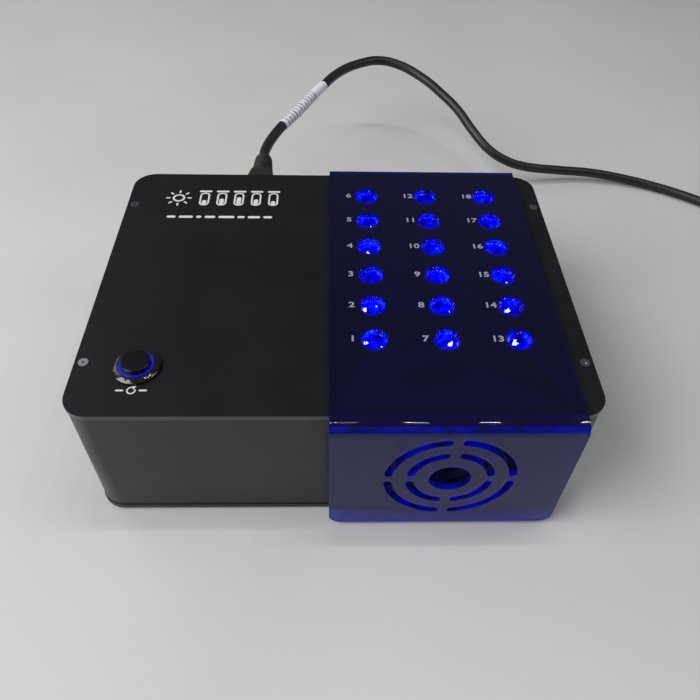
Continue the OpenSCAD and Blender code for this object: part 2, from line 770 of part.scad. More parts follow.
// Two wires from the inlet and one from the switch, down to the top of the supply's terminals
module mains_wires() color("#7a4a2a") {
  top = [psu_x - 34, psu_y + 12, board_top + terminal_h];
  live = [pin_places[0][0] - inlet_x, inlet_end - tab_l, entry_z + pin_places[0][1]];
  neutral = [pin_places[2][0] - inlet_x, inlet_end - tab_l, entry_z + pin_places[2][1]];
  tab = [switch_x, back_y - switch_body_l - tab_l, entry_z - 6];
  swept_tube([
    live, live + [0, -4, 0], live + [-4, -6.5, -5.5], top + [18, -2.5, 20], top + [6, -3, 14],
    top + [2.5, -3, 6], top + [2.5, -3, 0]
  ], mains_wire_r, 8, [0.6, 0.8, 0]);
  swept_tube([
    neutral, neutral + [0, -4, 0], neutral + [-4, -3.5, -6.5], top + [31, 4.5, 23.4],
    top + [13, 4.5, 20], top + [1, 3.5, 14], top + [-2, 3, 6], top + [-2, 3, 0]
  ], mains_wire_r, 8, [0.6, 0.8, 0]);
  swept_tube([
    tab, tab + [0, -3, 0], tab + [-8, -5.5, -5], top + [-9, -3, 14], top + [-3, -7, 7],
    top + [-3, -7, 0]
  ], mains_wire_r, 8, [0.6, 0.8, 0]);
}

// Leads from the control board to the fan, the light board and the push button
module signal_wires() color("#c23b30") {
  socket = [ctrl_x + 36, ctrl_y, board_top + 4];
  fan_side = [fan_x - fan_size / 2, inner_front + 16, board_top + 12];
  led_edge = [cover_x - led_w / 2, ctrl_y + 18, sink_top];
  button_tab = [button_x + 3.9, button_y + 3.9, top_z + barrel_end - contacts_l - 5];
  button_socket = [ctrl_x - 30, ctrl_y + 14, board_top + 8];
  swept_tube([
    socket + [0, -8, 0], socket + [5, -8, 0], socket / 2 + fan_side / 2, fan_side + [-6, 0, 0], fan_side
  ], signal_wire_r, 8);
  swept_tube([
    socket + [0, 10, 0], socket + [6, 10, 0], led_edge + [-14, -2, 6], led_edge + [-6, 0, 6],
    led_edge + [6, 0, board_t + signal_wire_r], led_edge + [9, 0, board_t + signal_wire_r]
  ], signal_wire_r, 8);
  swept_tube([
    button_tab, button_tab + [0, 0, -5], button_socket / 2 + button_tab / 2, button_socket + [0, 0, 6],
    button_socket
  ], signal_wire_r, 8, [0.3, 1, 0]);
}

// ---------- blue cover ----------

module blue_cover() color("#2a3cc8", 0.5) {
  outer_r = bend_r + cover_t;
  face_y = front_y - cover_gap - cover_t;
  low_z = base_z + cover_lift;
  high_z = top_z + cover_t;
  difference() {
    translate([cover_x - cover_w / 2, 0, 0]) rotate([90, 0, 90]) linear_extrude(cover_w) {
      translate([face_y + outer_r, top_z]) square([rear_y - face_y - outer_r, cover_t]);
      translate([face_y, low_z]) square([cover_t, high_z - outer_r - low_z]);
      translate([face_y + outer_r, high_z - outer_r]) difference() {
        circle(outer_r);
        circle(bend_r);
        translate([0, -outer_r]) square(2 * outer_r);
        translate([-outer_r, -2 * outer_r]) square(2 * outer_r);
      }
    }
    at_wells() translate([0, 0, top_z - 1]) cylinder(h = cover_t + 2, r = well_r + cover_rim);
    translate([cover_x, face_y - 1, fan_z]) vent_cuts(cover_t + 2);
    for (s = [-1, 1])
      translate([cover_x + s * (cover_w / 2 - cover_corner_r), face_y - 1, low_z + cover_corner_r])
        rotate([-90, 0, 0]) difference() {
          translate([s > 0 ? 0 : -cover_corner_r - 1, 0, 0])
            cube([cover_corner_r + 1, cover_corner_r + 1, cover_t + 2]);
          cylinder(h = cover_t + 2, r = cover_corner_r);
        }
  }
}

// ---------- power lead ----------

module plug_body() color("#121214") translate([-inlet_x, 0, entry_z]) difference() {
  union() {
    translate([0, back_y + inlet_flange_t - nose_l, 0]) y_block(nose_w, nose_h, nose_l + plug_gap + 1, 2);
    translate([0, plug_start, 0]) y_block(plug_w, plug_h, relief_start - plug_start, 4);
  }
  for (p = pin_places)
    translate([p[0] - pin_w / 2 - 0.3, back_y + inlet_flange_t - nose_l - 1, p[1] - pin_h / 2 - 0.3])
      cube([pin_w + 0.6, nose_l + 3, pin_h + 0.6]);
}

// The tapered strain relief, from the plug along +Y
module relief_shape(l, r_plug) {
  rotate([-90, 0, 0]) rotate_extrude() polygon([
    [0, 0], [r_plug, 0], [r_plug, 0.55 * l], [r_plug - 0.6, 0.75 * l], [cord_r + 1.4, 0.93 * l],
    [cord_r + 0.8, l], [0, l]
  ]);
}

module plug_relief() color("#121214")
  translate([-inlet_x, relief_start, entry_z]) relief_shape(relief_end - relief_start, relief_r);

module power_cord() color("#0e0e10") {
  swept_tube(cord_points, cord_r, cord_sides);
  swept_tube(tail_points, cord_r, cord_sides);
}

module cord_label() color("#e9e9ef") swept_tube(label_points, cord_r + label_t, cord_sides);

module cord_coil() color("#0e0e10") translate([coil_x, coil_y, coil_z])
  rotate_extrude() translate([coil_d / 2, coil_section_h / 2])
    rounded_rect(coil_section_w, coil_section_h, coil_round);

module cord_tie() color("#2b2b2e") translate([coil_x, coil_y, coil_z])
  rotate([0, 0, tie_start]) rotate_extrude(angle = tie_angle) translate([coil_d / 2, coil_section_h / 2])
    difference() {
      square([coil_section_w + 2 * tie_t, coil_section_h + 2 * tie_t], center = true);
      square([coil_section_w, coil_section_h], center = true);
    }

module wall_plug() color("#121214") translate([tail_x, tail_end, tail_z]) {
  translate([0, wall_relief_l, 0]) mirror([0, 1, 0]) relief_shape(wall_relief_l, relief_r);
  translate([0, wall_relief_l, 0]) y_block(wall_plug_w, wall_plug_h, wall_plug_l, 5);
}

module wall_plug_pins() color("#c9a227")
  translate([tail_x, tail_end + wall_relief_l + wall_plug_l, tail_z]) {
    for (x = [-blade_x, blade_x]) translate([x - blade_t / 2, 0, -1]) cube([blade_t, blade_l, blade_w]);
    translate([0, 0, -5]) rotate([-90, 0, 0]) cylinder(h = earth_l, r = earth_r);
  }

case_shell();
top_plate();
base_plate();
rubber_feet();
top_screws();
base_screws();
corner_posts();
tube_rack();
rack_spacers();
rack_screws();
reflector_tubes();
led_board();
led_emitters();
led_board_screws();
heat_sink();
heat_sink_posts();
heat_sink_screws();
fan_frame();
fan_stator();
fan_rotor();
fan_screws();
psu_board();
psu_transformer();
psu_capacitors();
psu_terminals();
psu_standoffs();
psu_screws();
control_board();
control_chips();
control_sockets();
control_standoffs();
control_screws();
inlet_housing();
inlet_pins();
inlet_screws();
inlet_nuts();
switch_housing();
switch_rocker();
button_bezel();
button_gasket();
button_nut();
button_light_ring();
button_cap();
button_spring();
button_contacts();
mains_wires();
signal_wires();
blue_cover();
plug_body();
plug_relief();
power_cord();
cord_label();
cord_coil();
cord_tie();
wall_plug();
wall_plug_pins();
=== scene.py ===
# Blue light tube illuminator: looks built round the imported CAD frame. Metres, +Z up, front at -Y.
import math

import bpy
from mathutils import Matrix, Vector, noise


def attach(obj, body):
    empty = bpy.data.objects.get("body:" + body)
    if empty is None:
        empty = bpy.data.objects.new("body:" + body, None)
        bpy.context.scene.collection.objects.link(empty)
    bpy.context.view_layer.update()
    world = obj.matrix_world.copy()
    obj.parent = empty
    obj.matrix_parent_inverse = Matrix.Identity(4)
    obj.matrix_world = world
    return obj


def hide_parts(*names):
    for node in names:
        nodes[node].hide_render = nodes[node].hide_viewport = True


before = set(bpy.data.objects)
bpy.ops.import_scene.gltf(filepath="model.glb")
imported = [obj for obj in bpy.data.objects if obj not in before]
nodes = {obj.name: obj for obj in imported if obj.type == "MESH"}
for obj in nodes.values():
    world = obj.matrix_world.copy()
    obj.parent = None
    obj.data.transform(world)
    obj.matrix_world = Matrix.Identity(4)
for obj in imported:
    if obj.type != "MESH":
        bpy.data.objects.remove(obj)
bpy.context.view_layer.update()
scene = bpy.context.scene
mm = 0.001
print("frame loaded:", len(nodes), "nodes")


def deselect():
    if bpy.context.mode != "OBJECT":
        bpy.ops.object.mode_set(mode="OBJECT")
    bpy.ops.object.select_all(action="DESELECT")


def pick(*objs):
    deselect()
    for obj in objs:
        obj.select_set(True)
    bpy.context.view_layer.objects.active = objs[0]
    return objs[0]


def added(name):
    obj = bpy.context.object
    obj.name = obj.data.name = name
    return obj


def settle(obj):
    pick(obj)
    bpy.ops.object.transform_apply(location=True, rotation=True, scale=True)
    return obj


def editFaces(obj, test):
    # leaves the piece in edit mode with the faces that pass the test selected
    pick(obj)
    bpy.ops.object.mode_set(mode="EDIT")
    bpy.ops.mesh.select_mode(type="FACE")
    bpy.ops.mesh.select_all(action="DESELECT")
    bpy.ops.object.mode_set(mode="OBJECT")
    for face in obj.data.polygons:
        face.select = test(face)
    bpy.ops.object.mode_set(mode="EDIT")


def leaveEdit():
    bpy.ops.object.mode_set(mode="OBJECT")


def finishWith(obj, kind, **settings):
    mod = obj.modifiers.new(kind.lower(), kind)
    for key, value in settings.items():
        setattr(mod, key, value)
    pick(obj)
    bpy.ops.object.modifier_apply(modifier=mod.name)
    return obj


def smooth(obj, angle=35):
    pick(obj)
    bpy.ops.object.shade_smooth_by_angle(angle=math.radians(angle))
    return obj


def joined(pieces, name):
    pick(*pieces)
    if len(pieces) > 1:
        bpy.ops.object.join()
    return added(name)


def drawOut(obj, profile, mode):
    # a ring or disc is drawn out along +Z through (height, radius) pairs in mm, and stays in edit mode
    (at, radius), rest = profile[0], profile[1:]
    pick(obj)
    bpy.ops.object.mode_set(mode="EDIT")
    bpy.ops.mesh.select_mode(type=mode)
    bpy.ops.mesh.select_all(action="SELECT")
    for nextAt, nextRadius in rest:
        bpy.ops.mesh.extrude_region_move(TRANSFORM_OT_translate={"value": (0, 0, (nextAt - at) * mm)})
        k = nextRadius / radius
        bpy.ops.transform.resize(value=(k, k, 1), center_override=(0, 0, nextAt * mm))
        at, radius = nextAt, nextRadius


def faceOutward():
    bpy.ops.mesh.select_all(action="SELECT")
    bpy.ops.mesh.normals_make_consistent(inside=False)
    leaveEdit()


def curveThrough(name, points):
    curve = bpy.data.curves.new(name, "CURVE")
    curve.dimensions = "3D"
    curve.use_fill_caps = True
    spline = curve.splines.new("BEZIER")
    spline.bezier_points.add(len(points) - 1)
    for bez, point in zip(spline.bezier_points, points):
        bez.co = point
        bez.handle_left_type = bez.handle_right_type = "AUTO"
    obj = bpy.data.objects.new(name, curve)
    scene.collection.objects.link(obj)
    return obj


cleaning = {
    "sameSpot": 0.002 * mm,         # points closer than this are one
    "flatTo": math.radians(0.4),    # and so are faces that meet flatter than this
}


def roundedCopy(node, name, width, segments=2, angle=40):
    # the frame's own shape with its edges broken
    obj = bpy.data.objects.new(name, nodes[node].data.copy())
    scene.collection.objects.link(obj)
    editFaces(obj, lambda face: True)
    bpy.ops.mesh.remove_doubles(threshold=cleaning["sameSpot"])
    bpy.ops.mesh.dissolve_limited(angle_limit=cleaning["flatTo"])
    leaveEdit()
    finishWith(obj, "BEVEL", width=width, segments=segments, limit_method="ANGLE",
               angle_limit=math.radians(angle), use_clamp_overlap=True)
    smooth(obj, angle)
    finishWith(obj, "WEIGHTED_NORMAL", keep_sharp=True)
    return obj


def wear(obj, material):
    obj.data.materials.clear()
    obj.data.materials.append(material)
    return obj


def place(obj, body, slot, *replaced):
    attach(obj, body)
    if replaced:
        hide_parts(*replaced)
    return obj


cameraSetup = {
    "place": (-0.0032, -0.2627, 0.3146),
    "heading": 2.53,        # degrees from +Y towards +X
    "down": 47.80,
    "roll": 1.96,
    "lens": 34.80,
}


def makeCamera():
    heading, down, roll = (math.radians(cameraSetup[k]) for k in ("heading", "down", "roll"))
    ahead = math.cos(down)
    forward = Vector((math.sin(heading) * ahead, math.cos(heading) * ahead, -math.sin(down)))
    level = Vector((math.cos(heading), -math.sin(heading), 0))
    upright = level.cross(forward)
    right = level * math.cos(roll) + upright * math.sin(roll)
    up = upright * math.cos(roll) - level * math.sin(roll)
    data = bpy.data.cameras.new("camera")
    data.lens = cameraSetup["lens"]
    data.sensor_width = 36
    data.clip_start = 0.01
    camera = bpy.data.objects.new("camera", data)
    turn = Matrix((right, up, -forward)).transposed().to_4x4()
    camera.matrix_world = Matrix.Translation(cameraSetup["place"]) @ turn
    scene.collection.objects.link(camera)
    scene.camera = camera


makeCamera()

lead = {
    "diameter": 0.007,
    "length": 1.83,
    "route": [
        (-0.049, 0.151, 0.055), (-0.049, 0.159, 0.0555), (-0.042, 0.178, 0.059), (-0.027, 0.204, 0.062),
        (-0.011, 0.235, 0.064), (0.006, 0.265, 0.064), (0.023, 0.2815, 0.063), (0.036, 0.2882, 0.062),
        (0.051, 0.2870, 0.060), (0.072, 0.276, 0.054), (0.089, 0.257, 0.048), (0.099, 0.245, 0.043),
        (0.111, 0.226, 0.034), (0.123, 0.213, 0.026), (0.137, 0.207, 0.020), (0.151, 0.206, 0.016),
        (0.179, 0.209, 0.011), (0.208, 0.210, 0.008), (0.234, 0.206, 0.0055), (0.255, 0.199, 0.004),
        (0.275, 0.188, 0.0036), (0.295, 0.173, 0.0036), (0.308, 0.160, 0.0036), (0.320, 0.147, 0.0036),
    ],
    "tail": [(0.4125, 0.181, 0.010), (0.4125, 0.191, 0.010), (0.4125, 0.201, 0.010)],
    "coilMiddle": (0.360, 0.181),
    "coilBottom": 0.001,
    "coilDiameter": 0.077,
    "pointsPerTurn": 16,
    "turns": 5,                 # whole ones, besides the part turn between its ends
    "spacing": 1.014,           # turns lie a hair over a diameter apart
    # where in turns the lead moves to its next lane, and over what half width
    "changes": [(1.0, 0.11), (2.0, 0.11), (2.83, 0.075), (3.67, 0.075), (4.5, 0.075)],
    "enter": 0.2,               # turns spent coming in from the table
    "leave": 0.22,              # and rising to the wall plug
}


def ease(t):
    t = min(max(t, 0), 1)
    return t * t * (3 - 2 * t)


def coilPoints():
    d = lead["diameter"]
    cx, cy = lead["coilMiddle"]
    mean = lead["coilDiameter"] / 2
    start, end = Vector(lead["route"][-1]), Vector(lead["tail"][0])
    first = math.atan2(start.y - cy, start.x - cx)
    last = math.atan2(end.y - cy, end.x - cx) + lead["turns"] * 2 * math.pi
    turns = (last - first) / (2 * math.pi)
    side = lead["spacing"] * d
    lanes = [(side, 0), (0, 0), (-side, 0), (-side, d), (0, d), (side, d)]
    startOut = (start.xy - Vector((cx, cy))).length
    endOut = (end.xy - Vector((cx, cy))).length
    points = []
    count = round(turns * lead["pointsPerTurn"])
    for i in range(1, count):
        t = turns * i / count
        r = mean + lanes[0][0]
        z = lead["coilBottom"] + d / 2 + lanes[0][1]
        for (at, half), before, after in zip(lead["changes"], lanes, lanes[1:]):
            share = ease((t - at + half) / (2 * half))
            r += share * (after[0] - before[0])
            z += share * (after[1] - before[1])
        enter = 1 - ease(t / lead["enter"])
        leave = ease((t - turns + lead["leave"]) / lead["leave"])
        r += enter * (startOut - r) + leave * (endOut - r)
        z += enter * (start.z - z) + leave * (end.z - z)
        angle = first + 2 * math.pi * t
        points.append((cx + r * math.cos(angle), cy + r * math.sin(angle), z))
    return points


def makeLead():
    points = lead["route"] + coilPoints() + lead["tail"]
    obj = curveThrough("mains_lead", points)
    obj.data.bevel_depth = 1              # times each point's radius
    obj.data.bevel_resolution = 6
    obj.data.resolution_u = 6
    for bez in obj.data.splines[0].bezier_points:
        bez.radius = lead["diameter"] / 2
    steps = [Vector(b) - Vector(a) for a, b in zip(points, points[1:])]
    print("lead points:", len(points), "straight length:", round(sum(s.length for s in steps), 3))
    return obj


mainsLead = makeLead()
place(mainsLead, "case", "cord_rubber", "power_cord", "cord_coil")
print("lead laid")


def tone(r, g, b):
    # sRGB, 0 to 255, as a linear colour
    return tuple(((c / 255 + 0.055) / 1.055) ** 2.4 if c > 10 else c / 3294.6 for c in (r, g, b)) + (1,)


def noiseOf(tree, source, scale, detail=3):
    node = tree.nodes.new("ShaderNodeTexNoise")
    node.inputs["Scale"].default_value = scale
    node.inputs["Detail"].default_value = detail
    tree.links.new(source, node.inputs["Vector"])
    return node.outputs["Fac"]


def rampOf(tree, source, stops):
    node = tree.nodes.new("ShaderNodeValToRGB")
    line = node.color_ramp
    while len(line.elements) < len(stops):
        line.elements.new(0.5)
    for element, (at, colour) in zip(line.elements, stops):
        element.position = at
        element.color = colour
    tree.links.new(source, node.inputs["Fac"])
    return node.outputs["Color"]


def rangeOf(tree, source, low, high, start=0.3, end=0.7):
    node = tree.nodes.new("ShaderNodeMapRange")
    for name, value in (("From Min", start), ("From Max", end), ("To Min", low), ("To Max", high)):
        node.inputs[name].default_value = value
    tree.links.new(source, node.inputs["Value"])
    return node.outputs["Result"]


def bumpOf(tree, source, depth, strength=0.5):
    node = tree.nodes.new("ShaderNodeBump")
    node.inputs["Strength"].default_value = strength
    node.inputs["Distance"].default_value = depth
    tree.links.new(source, node.inputs["Height"])
    return node.outputs["Normal"]


def axisOf(tree, source, axis):
    node = tree.nodes.new("ShaderNodeSeparateXYZ")
    tree.links.new(source, node.inputs["Vector"])
    return node.outputs[axis]


def productOf(tree, first, second):
    node = tree.nodes.new("ShaderNodeMath")
    node.operation = "MULTIPLY"
    tree.links.new(first, node.inputs[0])
    tree.links.new(second, node.inputs[1])
    return node.outputs[0]


def placedBy(tree, scale=(1, 1, 1), turn=(0, 0, 0), shift=(0, 0, 0)):
    spot = tree.nodes.new("ShaderNodeTexCoord")
    mapping = tree.nodes.new("ShaderNodeMapping")
    mapping.inputs["Scale"].default_value = scale
    mapping.inputs["Rotation"].default_value = turn
    mapping.inputs["Location"].default_value = shift
    tree.links.new(spot.outputs["Object"], mapping.inputs["Vector"])
    return mapping.outputs["Vector"]


def started(name):
    mat = bpy.data.materials.new(name)
    mat.use_nodes = True
    return mat, mat.node_tree, mat.node_tree.nodes["Principled BSDF"]


plainFinish = {
    "colour": (128, 128, 128),   # sRGB, 0 to 255
    "vary": 0.12,                # lightest and darkest, as a share of the colour
    "rough": 0.5,
    "spread": 0.06,              # how far the roughness wanders
    "metal": 0,
    "grain": 2200,               # bumps per metre
    "broad": 35,                 # patches per metre
    "depth": 0.01,               # of the bumps, in mm
    "scale": (1, 1, 1),
}


def makeFinish(name, shaderValues=None, **given):
    look = {**plainFinish, **given}
    mat, tree, shader = started(name)
    at = placedBy(tree, look["scale"])
    wide, fine = noiseOf(tree, at, look["broad"], 4), noiseOf(tree, at, look["grain"], 2)
    base = tone(*look["colour"])
    dark = tuple(c * (1 - look["vary"]) for c in base[:3]) + (1,)
    light = tuple(min(c * (1 + look["vary"]), 1) for c in base[:3]) + (1,)
    tree.links.new(rampOf(tree, wide, [(0.3, dark), (0.7, light)]), shader.inputs["Base Color"])
    rough = rangeOf(tree, wide, look["rough"] - look["spread"], look["rough"] + look["spread"])
    tree.links.new(rough, shader.inputs["Roughness"])
    tree.links.new(bumpOf(tree, fine, look["depth"] * mm), shader.inputs["Normal"])
    shader.inputs["Metallic"].default_value = look["metal"]
    for key, value in (shaderValues or {}).items():
        shader.inputs[key].default_value = value
    return mat


finishes = {
    "caseCoat": dict(colour=(27, 27, 28), rough=0.40, grain=4200, depth=0.012, vary=0.08,
                     shaderValues={"Specular IOR Level": 0.5}),
    "topCoat": dict(colour=(23, 23, 25), rough=0.46, grain=4200, depth=0.012, vary=0.08,
                    shaderValues={"Specular IOR Level": 0.15}),
    # a glossier finish for the top plate's rim, whose lighter colour is a painted highlight along its edges
    "plateRimPaintedHighlight": dict(colour=(40, 40, 42), rough=0.30, grain=4200, depth=0.01,
                     shaderValues={"Specular IOR Level": 0.9}),
    "rubber": dict(colour=(22, 22, 22), rough=0.75, grain=1800, depth=0.03),
    "blackSteel": dict(colour=(150, 151, 156), rough=0.26, metal=1, grain=3000, scale=(1, 1, 8)),
    "millAluminium": dict(colour=(196, 198, 202), rough=0.36, metal=1, grain=2600, scale=(1, 12, 1),
                          depth=0.008),
    "nickel": dict(colour=(190, 192, 196), rough=0.25, metal=1, grain=3000),
    "whitePlastic": dict(colour=(226, 226, 222), rough=0.55, grain=1500),
    "boardWhite": dict(colour=(228, 228, 224), rough=0.38, grain=900, vary=0.04),
    "blackPlastic": dict(colour=(26, 26, 28), rough=0.48, grain=1400, depth=0.02),
    "copper": dict(colour=(184, 110, 70), rough=0.28, metal=1, grain=900, scale=(1, 1, 6), depth=0.08),
    "boardGreen": dict(colour=(30, 104, 62), rough=0.34, grain=700, vary=0.2),
    "boardBlue": dict(colour=(26, 78, 140), rough=0.34, grain=700, vary=0.2),
    "coreTape": dict(colour=(206, 172, 60), rough=0.4, grain=500, scale=(1, 1, 5)),
    "sleeve": dict(colour=(38, 48, 78), rough=0.25, grain=900),
    "terminalGreen": dict(colour=(44, 128, 78), rough=0.5, grain=900),
    "rockerBlack": dict(colour=(14, 14, 15), rough=0.18, grain=900, shaderValues={"Coat Weight": 0.3}),
    "buttonBlack": dict(colour=(11, 11, 12), rough=0.16, spread=0.02, grain=200, depth=0.0001,
                        shaderValues={"Coat Weight": 0.5, "Coat Roughness": 0.06}),
    "capBlack": dict(colour=(12, 12, 13), rough=0.2, spread=0.03, grain=3600, depth=0.001,
                     shaderValues={"Specular IOR Level": 0.3}),
    "gasket": dict(colour=(12, 12, 12), rough=0.8, grain=1200),
    "springSteel": dict(colour=(178, 180, 184), rough=0.22, metal=1, grain=3000),
    "brownWire": dict(colour=(108, 60, 32), rough=0.35, grain=900),
    "redWire": dict(colour=(176, 40, 32), rough=0.35, grain=900),
    "cordBlack": dict(colour=(24, 24, 25), rough=0.42, grain=1100, depth=0.02,
                      shaderValues={"Specular IOR Level": 0.45}),
    "plugBlack": dict(colour=(22, 22, 23), rough=0.55, grain=1500, depth=0.03),
    "strap": dict(colour=(30, 30, 32), rough=0.9, grain=2600, depth=0.15, vary=0.3,
                  shaderValues={"Sheen Weight": 0.4}),
    "brass": dict(colour=(206, 170, 96), rough=0.26, metal=1, grain=2600),
    "print": dict(colour=(206, 207, 210), rough=0.6, grain=3000, vary=0.06),
    "numberPrint": dict(colour=(146, 148, 166), rough=0.6, grain=3000, vary=0.1),
    "ledBlue": dict(colour=(40, 60, 255), rough=0.3,
                    shaderValues={"Emission Color": (0.05, 0.12, 1, 1), "Emission Strength": 6}),
    "ringLight": dict(colour=(10, 10, 120), rough=0.3, vary=0.3,
                      shaderValues={"Emission Color": (0.004, 0.001, 0.42, 1), "Emission Strength": 1}),
}
paint = {name: makeFinish(name, **look) for name, look in finishes.items()}

acrylic = {
    "tint": (0.030, 0.042, 0.40, 1),
    "glow": (0.0012, 0.0014, 0.0140, 1),     # painted glow, for light that leaks from the whole sheet
    "rimGlow": (0.002, 0.008, 0.085, 1),     # and a stronger painted glow along its lowest strip
    "edge": (0.0006, 0.0010, 0.24, 1),       # painted glow of the cut edges
    # painted glow of the bend
    "bend": (0.0004, 0.0008, 0.20, 1),
    "edgeBody": (0.002, 0.003, 0.06, 1),
    "ior": 1.42,
    "specular": 0.36,
    "rough": (0.015, 0.05),
    "top": 0.082,                            # the ramp of painted glow runs from the bench to here
}


def makeAcrylic(name):
    mat, tree, shader = started(name)
    at = placedBy(tree)
    shader.inputs["Base Color"].default_value = acrylic["tint"]
    shader.inputs["Transmission Weight"].default_value = 1
    shader.inputs["IOR"].default_value = acrylic["ior"]
    shader.inputs["Specular IOR Level"].default_value = acrylic["specular"]
    shader.inputs["Emission Strength"].default_value = 1
    tree.links.new(rangeOf(tree, noiseOf(tree, at, 60, 5), *acrylic["rough"]), shader.inputs["Roughness"])
    height = rangeOf(tree, axisOf(tree, at, "Z"), 0, 1, 0, acrylic["top"])
    stops = [(0.02, acrylic["rimGlow"]), (0.12, acrylic["glow"]), (1, acrylic["glow"])]
    tree.links.new(rampOf(tree, height, stops), shader.inputs["Emission Color"])
    return mat


def makeLitEdge(name, colour):
    # the painted glow in a cut edge comes and goes along it
    mat, tree, shader = started(name)
    at = placedBy(tree)
    dim = tuple(c * 0.10 for c in colour[:3]) + (1,)
    shader.inputs["Base Color"].default_value = acrylic["edgeBody"]
    shader.inputs["Specular IOR Level"].default_value = 0.2
    shader.inputs["Roughness"].default_value = 0.3
    shader.inputs["Emission Strength"].default_value = 1
    glow = rampOf(tree, noiseOf(tree, at, 150, 2), [(0.36, dim), (0.6, colour)])
    tree.links.new(glow, shader.inputs["Emission Color"])
    return mat


paint["acrylic"] = makeAcrylic("acrylic")
paint["litEdge"] = makeLitEdge("litEdge", acrylic["edge"])
paint["litBend"] = makeLitEdge("litBend", acrylic["bend"])

foilLook = {
    "patches": 220,             # of painted glow, per metre
    "glow": [
        (0.34, (0, 0, 0.01, 1)), (0.42, (0, 0, 0.16, 1)), (0.47, (0, 0, 0.60, 1)),
        (0.56, (0, 0, 0.95, 1)), (0.68, (0.003, 0.02, 1, 1)), (0.75, (0.1, 0.3, 1, 1)),
    ],
    "sparks": 1500,             # painted highlights, per metre, along the lip only
    "spark": (0.45, 0.6, 1, 1),
    "lipFrom": (0.0784, 0.0792),
    # the metal's blue body colour is a painted reflection of the blue light
    "body": (0.01, 0.012, 0.22, 1),
    "glintBody": (0.5, 0.6, 1, 1),
    "glintStrength": 1.6,
}


def makeFoil(name):
    # crinkled reflective foil, with a painted glow of blue light and painted highlight sparks along its lip
    mat, tree, shader = started(name)
    at = placedBy(tree)
    glow = rampOf(tree, noiseOf(tree, at, foilLook["patches"], 3), foilLook["glow"])
    dots = noiseOf(tree, at, foilLook["sparks"], 1)
    sparks = rampOf(tree, dots, [(0.70, (0, 0, 0, 1)), (0.73, (1, 1, 1, 1))])
    lip = rangeOf(tree, axisOf(tree, at, "Z"), 0, 1, *foilLook["lipFrom"])
    both = tree.nodes.new("ShaderNodeMix")
    both.data_type = "RGBA"
    tree.links.new(productOf(tree, sparks, lip), both.inputs["Factor"])
    tree.links.new(glow, both.inputs[6])
    both.inputs[7].default_value = foilLook["spark"]
    tree.links.new(both.outputs[2], shader.inputs["Emission Color"])
    shader.inputs["Emission Strength"].default_value = 1
    shader.inputs["Base Color"].default_value = foilLook["body"]
    shader.inputs["Metallic"].default_value = 1
    tree.links.new(rangeOf(tree, noiseOf(tree, at, 900, 2), 0.08, 0.3), shader.inputs["Roughness"])
    return mat


def makeGlint(name):
    # painted reflections on the brightest folds, where an emitter is seen in the foil
    mat, tree, shader = started(name)
    at = placedBy(tree)
    white = rampOf(tree, noiseOf(tree, at, 800, 1), [(0.40, (0.25, 0.55, 1, 1)), (0.52, (1, 1, 1, 1))])
    tree.links.new(white, shader.inputs["Emission Color"])
    shader.inputs["Emission Strength"].default_value = foilLook["glintStrength"]
    shader.inputs["Base Color"].default_value = foilLook["glintBody"]
    tree.links.new(rangeOf(tree, noiseOf(tree, at, 900, 2), 0.1, 0.3), shader.inputs["Roughness"])
    return mat


paint["foil"] = makeFoil("foil")
paint["glint"] = makeGlint("glint")

labelLook = {
    "paper": (226, 226, 234),
    "ink": (118, 118, 132),
    "bands": 90,                # how close the bars are
    "printed": 0.0205,          # half the length that has bars on it
}


def makeLabelPaper(name):
    # a white wrap with short grey bars across its middle
    mat, tree, shader = started(name)
    low, high = Vector(lead["route"][2]), Vector(lead["route"][4])
    turn = (high - low).rotation_difference(Vector((1, 0, 0))).to_euler()
    centre = (low + high) / 2
    centre.rotate(turn)
    at = placedBy(tree, turn=turn, shift=-centre)
    wave = tree.nodes.new("ShaderNodeTexWave")
    wave.inputs["Scale"].default_value = labelLook["bands"]
    tree.links.new(at, wave.inputs["Vector"])
    reach = labelLook["printed"]
    spread = rangeOf(tree, axisOf(tree, at, "X"), 0, 1, -reach, reach)
    none, full = (0, 0, 0, 1), (1, 1, 1, 1)
    printed = rampOf(tree, spread, [(0, none), (0.02, full), (0.98, full), (1, none)])
    bars = productOf(tree, rangeOf(tree, wave.outputs["Fac"], 0, 1, 0.5, 0.8), printed)
    broken = productOf(tree, bars, rangeOf(tree, noiseOf(tree, at, 500, 1), 0.35, 1, 0.4, 0.55))
    colours = [(0, tone(*labelLook["paper"])), (1, tone(*labelLook["ink"]))]
    tree.links.new(rampOf(tree, broken, colours), shader.inputs["Base Color"])
    shader.inputs["Roughness"].default_value = 0.45
    tree.links.new(bumpOf(tree, noiseOf(tree, at, 900), 0.02 * mm), shader.inputs["Normal"])
    return mat


paint["labelPaper"] = makeLabelPaper("labelPaper")

